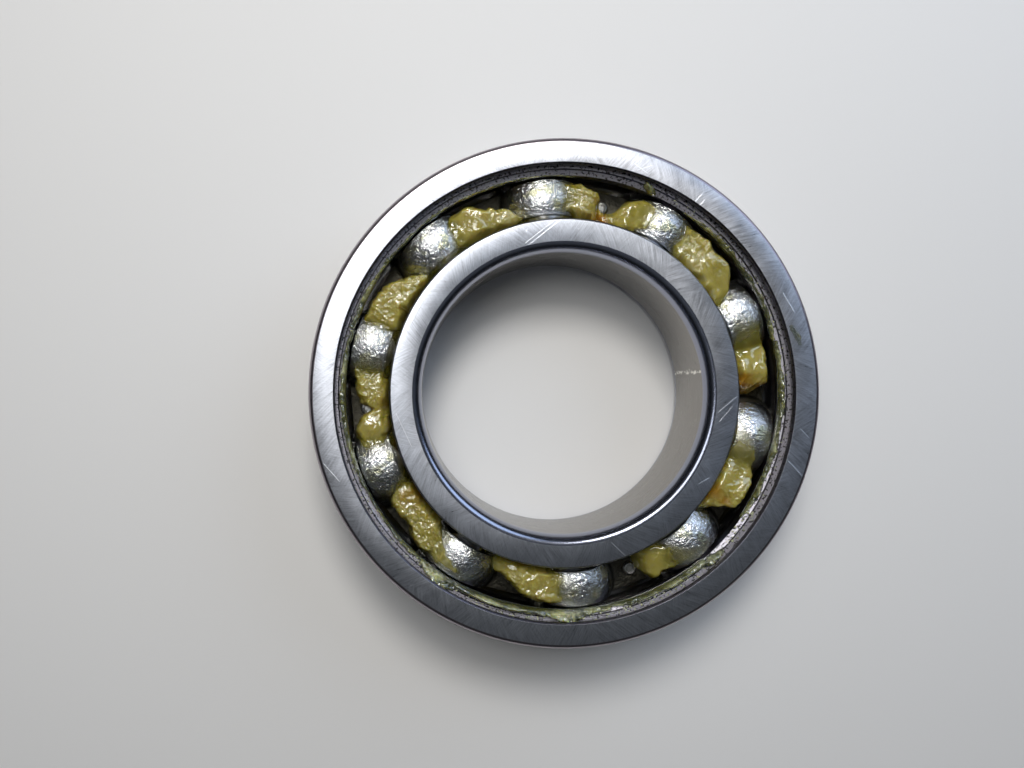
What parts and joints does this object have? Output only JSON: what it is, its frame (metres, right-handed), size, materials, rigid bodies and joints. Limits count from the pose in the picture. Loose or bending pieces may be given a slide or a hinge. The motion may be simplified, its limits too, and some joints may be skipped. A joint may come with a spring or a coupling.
{
  "type": "ball bearing",
  "caption": "Deep-groove ball bearing with inner and outer rings, riveted steel ribbon cage and a rubber seal on one side; carries a rotating shaft in a housing.",
  "frame": {"origin": "centre of the bearing, on its axis at mid width", "axes": "+Z along the axis of rotation, towards the open side with no seal; ball_01 lies 22.5 degrees from +X towards +Y"},
  "size_m": [0.09, 0.09, 0.02],
  "materials": {
    "ring_steel": "ground bearing steel with fine cross-hatched grinding marks and light handling scratches",
    "ball_steel": "lapped and polished bearing steel under a film of grease",
    "cage_steel": "pressed low-carbon steel sheet, bright, crinkled grease film",
    "rivet_steel": "drawn steel rivet with a low pan head",
    "seal_rubber": "moulded nitrile rubber, satin black",
    "insert_steel": "stamped sheet steel stiffener, dull",
    "grease": "amber to yellow-green bearing grease, wet and translucent"
  },
  "bodies": {
    "outer": {"outer_ring": "ring_steel", "rear_seal_rubber": "seal_rubber", "rear_seal_insert": "insert_steel"},
    "inner": {"inner_ring": "ring_steel"},
    "cage": {"cage_front": "cage_steel", "cage_rear": "cage_steel", "rivet_01": "rivet_steel", "rivet_02": "rivet_steel", "rivet_03": "rivet_steel", "rivet_04": "rivet_steel", "rivet_05": "rivet_steel", "rivet_06": "rivet_steel", "rivet_07": "rivet_steel", "rivet_08": "rivet_steel", "rivet_09": "rivet_steel", "rivet_10": "rivet_steel"},
    "ball_01": {"ball_01": "ball_steel"},
    "ball_02": {"ball_02": "ball_steel"},
    "ball_03": {"ball_03": "ball_steel"},
    "ball_04": {"ball_04": "ball_steel"},
    "ball_05": {"ball_05": "ball_steel"},
    "ball_06": {"ball_06": "ball_steel"},
    "ball_07": {"ball_07": "ball_steel"},
    "ball_08": {"ball_08": "ball_steel"},
    "ball_09": {"ball_09": "ball_steel"},
    "ball_10": {"ball_10": "ball_steel"}
  },
  "joints": [
    {"name": "inner_spin", "type": "hinge", "parent": "outer", "child": "inner", "pos_m": [0, 0, 0], "axis": [0, 0, 1], "continuous": true},
    {"name": "cage_spin", "type": "hinge", "parent": "outer", "child": "cage", "pos_m": [0, 0, 0], "axis": [0, 0, 1], "continuous": true},
    {"name": "ball_01_spin", "type": "hinge", "parent": "cage", "child": "ball_01", "pos_m": [0.03234, 0.01339, 0], "axis": [0, 0, 1], "continuous": true},
    {"name": "ball_02_spin", "type": "hinge", "parent": "cage", "child": "ball_02", "pos_m": [0.01829, 0.02984, 0], "axis": [0, 0, 1], "continuous": true},
    {"name": "ball_03_spin", "type": "hinge", "parent": "cage", "child": "ball_03", "pos_m": [-0.00275, 0.03489, 0], "axis": [0, 0, 1], "continuous": true},
    {"name": "ball_04_spin", "type": "hinge", "parent": "cage", "child": "ball_04", "pos_m": [-0.02273, 0.02661, 0], "axis": [0, 0, 1], "continuous": true},
    {"name": "ball_05_spin", "type": "hinge", "parent": "cage", "child": "ball_05", "pos_m": [-0.03403, 0.00817, 0], "axis": [0, 0, 1], "continuous": true},
    {"name": "ball_06_spin", "type": "hinge", "parent": "cage", "child": "ball_06", "pos_m": [-0.03234, -0.01339, 0], "axis": [0, 0, 1], "continuous": true},
    {"name": "ball_07_spin", "type": "hinge", "parent": "cage", "child": "ball_07", "pos_m": [-0.01829, -0.02984, 0], "axis": [0, 0, 1], "continuous": true},
    {"name": "ball_08_spin", "type": "hinge", "parent": "cage", "child": "ball_08", "pos_m": [0.00275, -0.03489, 0], "axis": [0, 0, 1], "continuous": true},
    {"name": "ball_09_spin", "type": "hinge", "parent": "cage", "child": "ball_09", "pos_m": [0.02273, -0.02661, 0], "axis": [0, 0, 1], "continuous": true},
    {"name": "ball_10_spin", "type": "hinge", "parent": "cage", "child": "ball_10", "pos_m": [0.03403, -0.00817, 0], "axis": [0, 0, 1], "continuous": true}
  ],
  "couplings": [
    {"joint": "cage_spin", "follows": "inner_spin", "ratio": 0.40929},
    {"joint": "ball_01_spin", "follows": "inner_spin", "ratio": -2.6652},
    {"joint": "ball_02_spin", "follows": "inner_spin", "ratio": -2.6652},
    {"joint": "ball_03_spin", "follows": "inner_spin", "ratio": -2.6652},
    {"joint": "ball_04_spin", "follows": "inner_spin", "ratio": -2.6652},
    {"joint": "ball_05_spin", "follows": "inner_spin", "ratio": -2.6652},
    {"joint": "ball_06_spin", "follows": "inner_spin", "ratio": -2.6652},
    {"joint": "ball_07_spin", "follows": "inner_spin", "ratio": -2.6652},
    {"joint": "ball_08_spin", "follows": "inner_spin", "ratio": -2.6652},
    {"joint": "ball_09_spin", "follows": "inner_spin", "ratio": -2.6652},
    {"joint": "ball_10_spin", "follows": "inner_spin", "ratio": -2.6652}
  ]
}
